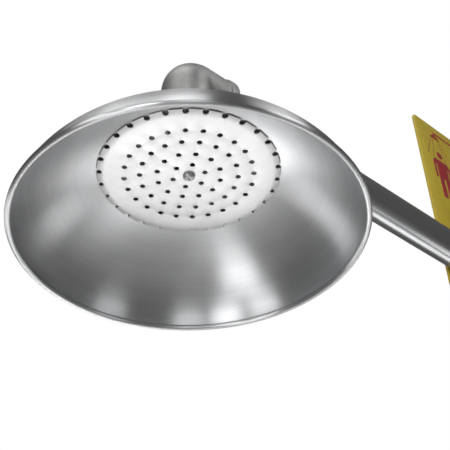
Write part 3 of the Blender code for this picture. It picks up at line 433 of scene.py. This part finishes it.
def lathe(outline, steps, matrix=None):
    bm = bmesh.new()
    verts = [bm.verts.new((radius, 0, height)) for radius, height in outline]
    edges = [bm.edges.new(pair) for pair in zip(verts, verts[1:])]
    if min(radius for radius, height in outline) > hair:
        edges.append(bm.edges.new((verts[-1], verts[0])))
    bmesh.ops.spin(bm, geom=verts + edges, cent=(0, 0, 0), axis=(0, 0, 1), angle=turn,
                   steps=steps, use_merge=True)
    bmesh.ops.remove_doubles(bm, verts=bm.verts[:], dist=hair)
    bmesh.ops.recalc_face_normals(bm, faces=bm.faces[:])
    if matrix:
        bmesh.ops.transform(bm, matrix=matrix, verts=bm.verts[:])
    return bm


def arc(radius, start, end, steps, centre=(0.0, 0.0)):
    angles = [start + (end - start) * i / steps for i in range(steps + 1)]
    return [(centre[0] + radius * math.cos(a), centre[1] + radius * math.sin(a)) for a in angles]


def ring(radius, steps, centre=(0.0, 0.0)):
    return arc(radius, 0, turn, steps, centre)[:-1]


def softened(outline, radius, closed=False, steps=4):
    points = []
    count = len(outline)
    most = 0.45    # share of a side that one corner may take
    for i, corner in enumerate(outline):
        here = Vector(corner)
        if not closed and i in (0, count - 1):
            points.append(tuple(here))
            continue
        back = Vector(outline[i - 1]) - here
        ahead = Vector(outline[(i + 1) % count]) - here
        reach = min(radius, back.length * most, ahead.length * most)
        first, last = here + back.normalized() * reach, here + ahead.normalized() * reach
        for step in range(steps + 1):
            t = step / steps
            points.append(tuple(first * (1 - t) ** 2 + here * 2 * t * (1 - t) + last * t ** 2))
    return points


def bar(radius, low, high, soft, steps, matrix):
    return lathe(softened([(0, low), (radius, low), (radius, high), (0, high)], soft), steps, matrix)


def tube(inner, outer, low, high, soft, steps, matrix):
    outline = softened([(inner, low), (outer, low), (outer, high), (inner, high)], soft, True)
    return lathe(outline, steps, matrix)


def fillLoops(bm, loops):
    edges = []
    for verts in loops:
        for pair in zip(verts, verts[1:] + verts[:1]):
            edges.append(bm.edges.get(pair) or bm.edges.new(pair))
    bmesh.ops.triangle_fill(bm, edges=edges, use_beauty=True)


def thicken(bm, thickness, soft):
    raised = bmesh.ops.extrude_face_region(bm, geom=bm.faces[:])
    tops = [item for item in raised["geom"] if isinstance(item, bmesh.types.BMVert)]
    bmesh.ops.translate(bm, vec=(0, 0, thickness), verts=tops)
    bmesh.ops.recalc_face_normals(bm, faces=bm.faces[:])
    corners = [e for e in bm.edges if e.is_manifold and e.calc_face_angle() > square
               and abs(e.verts[0].co.z - e.verts[1].co.z) < level]
    bmesh.ops.bevel(bm, geom=corners, offset=soft, affect="EDGES", segments=2, profile=0.5, material=-1)


def slab(outlines, thickness, soft, matrix):
    bm = bmesh.new()
    fillLoops(bm, [[bm.verts.new((x, y, 0)) for x, y in outline] for outline in outlines])
    thicken(bm, thickness, soft)
    bmesh.ops.transform(bm, matrix=matrix, verts=bm.verts[:])
    return bm


def block(low, high):
    bm = bmesh.new()
    bmesh.ops.create_cube(bm, size=1.0)
    bmesh.ops.scale(bm, vec=Vector(high) - Vector(low), verts=bm.verts[:])
    bmesh.ops.translate(bm, vec=(Vector(high) + Vector(low)) / 2, verts=bm.verts[:])
    return bm


def heldObject(name, bm):
    mesh = bpy.data.meshes.new(name)
    bm.to_mesh(mesh)
    bm.free()
    held = bpy.data.objects.new(name, mesh)
    bpy.context.scene.collection.objects.link(held)
    return held


def baked(held, helpers=()):
    graph = bpy.context.evaluated_depsgraph_get()
    mesh = bpy.data.meshes.new_from_object(held.evaluated_get(graph))
    bm = bmesh.new()
    bm.from_mesh(mesh)
    for obj in (held, *helpers):
        bpy.data.meshes.remove(obj.data)
    bpy.data.meshes.remove(mesh)
    return bm


def carved(bm, operation, tools):
    held = heldObject("blank", bm)
    helpers = []
    for tool in tools:
        helper = heldObject("tool", tool)
        modifier = held.modifiers.new("cut", "BOOLEAN")
        modifier.operation = operation
        modifier.solver = "EXACT"
        modifier.object = helper
        helpers.append(helper)
    return baked(held, helpers)


# shares of the width across flats, and of the cone that turns the corners down
hexSettings = {"seat": 0.475, "clear": 1.01, "slope": 0.55, "lip": 0.35 * mm, "past": 0.01 * mm,
               "coneSteps": 72, "boreSteps": 36}


def hexBar(flats, low, high, bore, matrix):
    s = hexSettings
    corner = flats / 2 / math.cos(math.pi / 6)
    clear, seat, lip = corner * s["clear"], flats * s["seat"], s["lip"]
    drop = (clear - seat) * s["slope"]
    blank = lathe([(0, low), (corner, low), (corner, high), (0, high)], 6)
    cone = lathe([(0, low - mm), (seat, low - mm), (seat, low), (clear, low + drop),
                  (clear, high - drop), (seat, high), (seat, high + mm), (0, high + mm)],
                 s["coneSteps"])
    through = lathe([(0, low - mm), (bore + lip, low - mm), (bore + lip, low - s["past"]),
                     (bore, low + lip), (bore, high - lip), (bore + lip, high + s["past"]),
                     (bore + lip, high + mm), (0, high + mm)], s["boreSteps"])
    bm = carved(carved(blank, "INTERSECT", [cone]), "DIFFERENCE", [through])
    bmesh.ops.transform(bm, matrix=matrix, verts=bm.verts[:])
    return bm


def threaded(radius, low, high, pitch, steps, matrix):
    crestEnd, root, crestStart = 0.15 * pitch, 0.5 * pitch, 0.85 * pitch
    depth = root
    outline = [(0, low), (radius - depth, low), (radius, low + depth)]
    height = low + depth
    while height + pitch < high - depth:
        outline += [(radius, height + crestEnd), (radius - depth, height + root),
                    (radius, height + crestStart)]
        height += pitch
    outline += [(radius, high - depth), (radius - depth, high), (0, high)]
    return lathe(outline, steps, matrix)


def joined(first, *others):
    for other in others:
        mesh = bpy.data.meshes.new("joined")
        other.to_mesh(mesh)
        other.free()
        first.from_mesh(mesh)
        bpy.data.meshes.remove(mesh)
    return first


# bowl

bowlSettings = {"wall": 1.2 * mm, "crown": 62.5 * mm, "crownFlat": 35 * mm, "hub": 8.5 * mm,
                "hubRadius": 26.5 * mm, "rimRise": 26.8 * mm, "rimPull": 5 * mm,
                "shoulder": 83 * mm, "tailHole": 13.5 * mm, "steps": 256, "wallSteps": 56,
                "hubSteps": 12, "rollSteps": 22}


def wallCurve():
    s = bowlSettings
    crown = s["crown"] - s["wall"] / 2
    a, b = Vector((rimRadius, 0)), Vector((rimRadius - s["rimPull"], s["rimRise"]))
    c, d = Vector((s["shoulder"], crown)), Vector((s["crownFlat"], crown))
    points = []
    for i in range(s["wallSteps"] + 1):
        t = i / s["wallSteps"]
        points.append(a * (1 - t) ** 3 + b * 3 * (1 - t) ** 2 * t + c * 3 * (1 - t) * t ** 2 + d * t ** 3)
    for i in range(1, s["hubSteps"] + 1):
        t = i / s["hubSteps"]
        run = s["crownFlat"] + (s["hubRadius"] - s["crownFlat"]) * t
        points.append(Vector((run, crown + s["hub"] * t * t * (3 - 2 * t))))
    points.append(Vector((s["tailHole"], crown + s["hub"])))
    return points


def sideways(points, distance):
    shifted = []
    for i, point in enumerate(points):
        along = (points[min(i + 1, len(points) - 1)] - points[max(i - 1, 0)]).normalized()
        shifted.append(point + Vector((along.y, -along.x)) * distance)
    shifted[-1].x = points[-1].x
    return shifted


def makeBowl():
    s = bowlSettings
    outer = sideways(wallCurve(), s["wall"] / 2)
    inner = sideways(wallCurve(), -s["wall"] / 2)
    lean = math.asin(s["wall"] / 2 / bead)
    roll = arc(bead, math.pi / 2 - lean, -1.5 * math.pi + lean, s["rollSteps"],
               (rimRadius, 0))
    outline = [tuple(p) for p in reversed(outer[1:])] + roll + [tuple(p) for p in inner[1:]]
    bm = lathe(outline, s["steps"], moved(head.x, 0, rimZ))
    finished("drench_bowl", bm, "spun", replaces=["shower_bowl"], sharp=50)


makeBowl()
print("bowl made")


# spray plate and its screw

sprayPlateSettings = {
    "radius": 68.8 * mm, "flatTo": 65.2 * mm, "lift": 0.9 * mm, "thickness": 0.8 * mm,
    "soft": 0.15 * mm, "hole": 2.0 * mm, "holeSteps": 24, "turned": math.radians(2),
    "rings": ((6, 12.5 * mm), (12, 24.2 * mm), (18, 37.0 * mm), (24, 48.8 * mm)),
    "notches": 30, "notch": 2.3 * mm, "inset": 1.4 * mm, "notchSteps": 12, "edgeSteps": 8,
    "screwHole": 2.8 * mm, "holesInset": 3 * mm, "liftInset": 1.6 * mm, "rimSteps": 240, "curl": 1.5}


def notchedEdge():
    s = sprayPlateSettings
    centre = s["radius"] - s["inset"]
    mouth = math.acos((s["radius"] ** 2 - centre ** 2 - s["notch"] ** 2) / (2 * centre * s["notch"]))
    half = math.asin(s["notch"] * math.sin(mouth) / s["radius"])
    pitch = turn / s["notches"]
    points = []
    for i in range(s["notches"]):
        at = i * pitch
        spot = (centre * math.cos(at), centre * math.sin(at))
        points += arc(s["notch"], at - mouth, at - turn + mouth, s["notchSteps"], spot)
        points += arc(s["radius"], at + half, at + pitch - half, s["edgeSteps"])[1:-1]
    return points


def makeSprayPlate():
    s = sprayPlateSettings
    bm = bmesh.new()
    innerLoops = [ring(s["screwHole"], s["holeSteps"])]
    for count, radius in s["rings"]:
        for i in range(count):
            at = s["turned"] + turn * i / count
            centre = (radius * math.cos(at), radius * math.sin(at))
            innerLoops.append(ring(s["hole"], s["holeSteps"], centre))
    loops = [[bm.verts.new((x, y, 0)) for x, y in loop] for loop in innerLoops]
    liftFrom = s["flatTo"] - s["liftInset"]
    rims = [[bm.verts.new((x, y, 0)) for x, y in ring(radius, s["rimSteps"])]
            for radius in (s["flatTo"] - s["holesInset"], liftFrom)]
    edge = [bm.verts.new((x, y, 0)) for x, y in notchedEdge()]
    fillLoops(bm, loops + rims[:1])
    fillLoops(bm, rims)
    fillLoops(bm, [rims[1], edge])
    thicken(bm, s["thickness"], s["soft"])
    for vert in bm.verts:
        out = (math.hypot(vert.co.x, vert.co.y) - liftFrom) / (s["radius"] - liftFrom)
        if out > 0:
            vert.co.z += s["lift"] * out ** s["curl"]
    bmesh.ops.translate(bm, vec=(head.x, 0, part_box("spray_plate")[0].z), verts=bm.verts[:])
    finished("punched_spray_plate", bm, "plate", replaces=["spray_plate"], sharp=25)


screwSettings = {"head": 4.7 * mm, "height": 3.0 * mm, "shank": 2.5 * mm, "length": 9.5 * mm,
                 "slot": 0.55 * mm, "reach": 2.3 * mm, "depth": 1.9 * mm, "floorShare": 0.45,
                 "turned": math.radians(28), "domeSteps": 14, "steps": 64}


def makePlateScrew():
    s = screwSettings
    dome = [(s["head"] * math.sin(a), -s["height"] * math.cos(a))
            for a in (math.pi / 2 * i / s["domeSteps"] for i in range(s["domeSteps"] + 1))]
    bm = lathe(dome + [(s["shank"], 0.0), (s["shank"], s["length"]), (0, s["length"])], s["steps"])
    floor = -s["height"] + s["depth"]
    wide, slot = s["reach"], s["slot"]
    cross = []
    for low, high in (((-wide, -slot), (wide, slot)), ((-slot, -wide), (slot, wide))):
        cut = block((*low, -2 * s["height"]), (*high, floor))
        pointed = [v for v in cut.verts if v.co.z > floor - level]
        bmesh.ops.scale(cut, vec=(s["floorShare"], s["floorShare"], 1), verts=pointed)
        cross.append(cut)
    bm = carved(bm, "DIFFERENCE", cross)
    turnedBack = Matrix.Rotation(s["turned"], 4, "Z")
    bmesh.ops.transform(bm, matrix=moved(head.x, 0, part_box("spray_plate")[0].z - play) @ turnedBack,
                        verts=bm.verts[:])
    finished("plate_screw_domed", bm, "fastener", replaces=["plate_screw"], sharp=35)


makeSprayPlate()
makePlateScrew()
print("spray plate made")


# elbow

elbowSettings = {"body": 21.6 * mm, "bend": 7.5 * mm, "reach": 38 * mm, "band": 23.0 * mm,
                 "bandWidth": 9 * mm, "overlap": 0.4 * mm,
                 # turns of the band's profile: out from the body or the band's face, then along
                 "foot": ((0, -1.2 * mm), (0.3 * mm, -0.3 * mm)),
                 "rise": ((-0.3 * mm, 0.4 * mm), (0, 1.4 * mm)),
                 "lip": ((0, -1.6 * mm), (-0.5 * mm, -0.5 * mm), (-1.6 * mm, 0)),
                 "voxel": 0.75 * mm, "smoothing": 4, "smoothFactor": 0.5,
                 "engagement": 15 * mm, "mouth": 1.2 * mm, "mouthDepth": 0.8 * mm,
                 "past": 0.4 * mm, "beyond": 3 * mm, "steps": 96, "bendSteps": 24}


def makeElbow():
    s = elbowSettings
    body, bend, reach, band = s["body"], s["bend"], s["reach"], s["band"]
    bandStart = reach - s["bandWidth"]
    legStart = bend - s["overlap"]
    leg = ([(0, legStart), (body, legStart)]
           + [(body + out, bandStart + along) for out, along in s["foot"]]
           + [(band + out, bandStart + along) for out, along in s["rise"]]
           + [(band + out, reach + along) for out, along in s["lip"]] + [(0, reach)])
    down = Matrix.Rotation(math.pi, 4, "X")
    knuckle = bmesh.new()
    bmesh.ops.create_circle(knuckle, cap_ends=True, segments=s["steps"], radius=body)
    bmesh.ops.transform(knuckle, matrix=Matrix.Rotation(math.pi / 2, 4, "Y") @ moved(0, 0, bend),
                        verts=knuckle.verts[:])
    bmesh.ops.bisect_plane(knuckle, geom=knuckle.verts[:] + knuckle.edges[:] + knuckle.faces[:],
                           plane_co=(bend, 0, -bend), plane_no=(0, 0, -1), clear_outer=True)
    bmesh.ops.spin(knuckle, geom=knuckle.faces[:], cent=(bend, 0, -bend), axis=(0, 1, 0),
                   angle=-math.pi / 2, steps=s["bendSteps"])
    bmesh.ops.remove_doubles(knuckle, verts=knuckle.verts[:], dist=level)
    bmesh.ops.recalc_face_normals(knuckle, faces=knuckle.faces[:])
    solid = joined(lathe(leg, s["steps"], alongX), lathe(leg, s["steps"], down), knuckle)
    held = heldObject("elbow_blank", solid)
    remesh = held.modifiers.new("skin", "REMESH")
    remesh.mode = "VOXEL"
    remesh.voxel_size = s["voxel"]
    bm = baked(held)
    for _ in range(s["smoothing"]):
        bmesh.ops.smooth_vert(bm, verts=bm.verts[:], factor=s["smoothFactor"], use_axis_x=True,
                              use_axis_y=True, use_axis_z=True)
    socket = pipeRadius + play
    mouth = socket + s["mouth"]
    floor = reach - s["engagement"] - play
    way = pipeRadius - pipeWall - mm
    bore = [(0, 0), (way, 0), (way, floor), (socket, floor), (socket, reach - s["mouthDepth"]),
            (mouth, reach + s["past"]), (mouth, reach + s["beyond"]), (0, reach + s["beyond"])]
    bm = carved(bm, "DIFFERENCE", [lathe(bore, s["steps"], alongX), lathe(bore, s["steps"], down)])
    bmesh.ops.translate(bm, vec=head, verts=bm.verts[:])
    finished("cast_elbow", bm, "cast", replaces=["pipe_elbow"], sharp=40)


makeElbow()
print("elbow made")


# pipes

pipeSettings = {"soft": 0.5 * mm, "steps": 128}


def makePipes():
    s = pipeSettings
    inner = pipeRadius - pipeWall
    for node, name in (("arm_pipe", "arm_pipe_drawn"), ("supply_nipple", "supply_nipple_drawn")):
        low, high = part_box(node)
        bm = tube(inner, pipeRadius, low.x, high.x, s["soft"], s["steps"], alongX)
        finished(name, bm, "pipe", replaces=[node], sharp=40)
    low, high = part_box("drop_nipple")
    bm = tube(inner, pipeRadius, low.z, high.z, s["soft"], s["steps"],
              moved(head.x, 0, 0))
    finished("drop_nipple_drawn", bm, "pipe", replaces=["drop_nipple"], sharp=40)


makePipes()
print("pipes made")


# sign

signLow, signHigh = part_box("sign_plate")
signSettings = {"corner": 6.5 * mm, "cornerSteps": 10, "bolt": 3.3 * mm, "boltSteps": 32,
                "edge": 0.5 * mm, "mark": 0.12 * mm, "markEdge": 0.03 * mm}


def makeSign():
    s = signSettings
    left, right, low, high = signLow.x, signHigh.x, signLow.z, signHigh.z
    corners = [(left, low), (right, low), (right, high), (left, high)]
    outlines = [softened(corners, s["corner"], True, s["cornerSteps"])]
    for number in range(1, 5):
        centre = middle(f"sign_nut_{number}")
        outlines.append(ring(s["bolt"], s["boltSteps"], (centre.x, centre.z)))
    bm = slab(outlines, signHigh.y - signLow.y, s["edge"], moved(0, signHigh.y, 0) @ towardFront)
    finished("sign_panel", bm, "sign", replaces=["sign_plate"], sharp=30)


# pictogram of our own: millimetres from the sign's left edge and above the pipe's axis
symbolSettings = {
    "rose": [(25, 197), (44, 197), (38, 203), (31, 203)],
    "supply": [(33, 202), (36, 202), (36, 205), (166, 205), (166, 208), (33, 208)],
    "body": [(25, 163), (48, 163), (52, 158), (52, 132), (48, 132), (48, 154), (46, 154), (46, 104),
             (38, 104), (38, 134), (35, 134), (35, 104), (27, 104), (27, 154), (25, 154), (25, 132),
             (21, 132), (21, 158)],
    "leaner": [(100, 158), (122, 166), (124, 160), (112, 150), (112, 104), (104, 104), (104, 130),
               (101, 130), (101, 104), (93, 104), (93, 150)],
    "basin": [(128, 152), (158, 152), (153, 144), (145, 142), (145, 106), (152, 104), (134, 104),
              (141, 106), (141, 142), (133, 144)],
    "heads": ((36.5, 171.5, 5.2), (112, 175, 5.2)), "spray": ((26, 14), (30, 25), (39, 48), (43, 59)),
    "sprayTop": 195, "sprayFoot": 164, "sprayWidth": 0.45, "soft": 0.8, "softSteps": 2, "headSteps": 40}


def makeSymbol():
    s = symbolSettings
    shapes = [softened(s[name], s["soft"], True, s["softSteps"])
              for name in ("rose", "supply", "body", "leaner", "basin")]
    shapes += [ring(radius, s["headSteps"], (x, z)) for x, z, radius in s["heads"]]
    for top, foot in s["spray"]:
        w = s["sprayWidth"]
        shapes.append([(top - w, s["sprayTop"]), (foot - w, s["sprayFoot"]), (foot + w, s["sprayFoot"]),
                       (top + w, s["sprayTop"])])
    onFace = moved(0, signLow.y, 0) @ towardFront
    bm = bmesh.new()
    for shape in shapes:
        outline = [(signLow.x + x * mm, z * mm) for x, z in shape]
        bm = joined(bm, slab([outline], signSettings["mark"], signSettings["markEdge"], onFace))
    finished("sign_symbol", bm, "mark", sharp=30)


fixingSettings = {"steps": 32, "bendSteps": 40, "pitch": 1.0 * mm, "soft": 0.1 * mm,
                  "washerSteps": 48, "washerSoft": 0.25 * mm}


def makeSignFixings():
    s = fixingSettings
    low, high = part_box("sign_ubolt_left")
    rod = (high.x - low.x) / 2
    leg = high.z - rod
    legEnd = high.y
    thread = legEnd - signLow.y
    for node in ("sign_ubolt_left", "sign_ubolt_right"):
        x = middle(node).x
        bm = bmesh.new()
        made = bmesh.ops.create_circle(bm, segments=s["steps"], radius=rod)
        bmesh.ops.transform(bm, matrix=moved(0, 0, leg) @ towardFront, verts=made["verts"])
        bmesh.ops.spin(bm, geom=bm.verts[:] + bm.edges[:], cent=(0, 0, 0), axis=(1, 0, 0),
                       angle=math.pi, steps=s["bendSteps"])
        bmesh.ops.translate(bm, vec=(x, 0, 0), verts=bm.verts[:])
        for side in (-1, 1):
            spot = moved(x, 0, side * leg) @ towardBack
            shank = bar(rod, 0, legEnd - thread, s["soft"], s["steps"], spot)
            cut = threaded(rod, legEnd - thread, legEnd, s["pitch"], s["steps"], spot)
            bm = joined(bm, shank, cut)
        finished(node + "_bent", bm, "fastener", replaces=[node], sharp=35)
    for number in range(1, 5):
        node = f"sign_washer_{number}"
        low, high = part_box(node)
        centre = middle(node)
        bm = tube(rod + play, (high.x - low.x) / 2, 0, high.y - low.y, s["washerSoft"],
                  s["washerSteps"], moved(centre.x, low.y, centre.z) @ towardBack)
        finished(node + "_flat", bm, "fastener", replaces=[node], sharp=35)
        node = f"sign_nut_{number}"
        low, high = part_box(node)
        bm = hexBar(high.z - low.z, 0, high.y - low.y, rod + play,
                    moved(centre.x, low.y, centre.z) @ towardBack @ Matrix.Rotation(math.pi / 6, 4, "Z"))
        finished(node + "_hex", bm, "fastener", replaces=[node], sharp=30)


makeSign()
makeSymbol()
makeSignFixings()
print("sign made")


# CAD solids kept as they are, each with its own finish

keptFinishes = {
    "plate_bridge": "fastener", "inlet_socket": "plated", "socket_gasket": "rubber",
    "socket_locknut": "plated", "valve_body": "plated", "valve_end_cap": "plated",
    "valve_seat_outlet": "ptfe", "valve_seat_inlet": "ptfe", "stem_thrust_washer": "ptfe",
    "stem_packing": "ptfe", "gland_nut": "plated", "valve_ball": "fastener", "valve_stem": "fastener",
    "valve_lever": "rod", "lever_nut": "fastener", "rod_clevis": "fastener", "clevis_pin": "fastener",
    "pin_clip": "fastener", "pull_rod": "rod", "rod_locknut": "fastener", "handle_locknut": "fastener",
    "pull_handle": "rod", "wall_flange": "cast", "flange_grub_screw": "fastener",
    }
for node, finish in keptFinishes.items():
    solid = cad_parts[node]
    solid.data.materials.clear()
    solid.data.materials.append(finishes[finish])
print("kept solids finished")
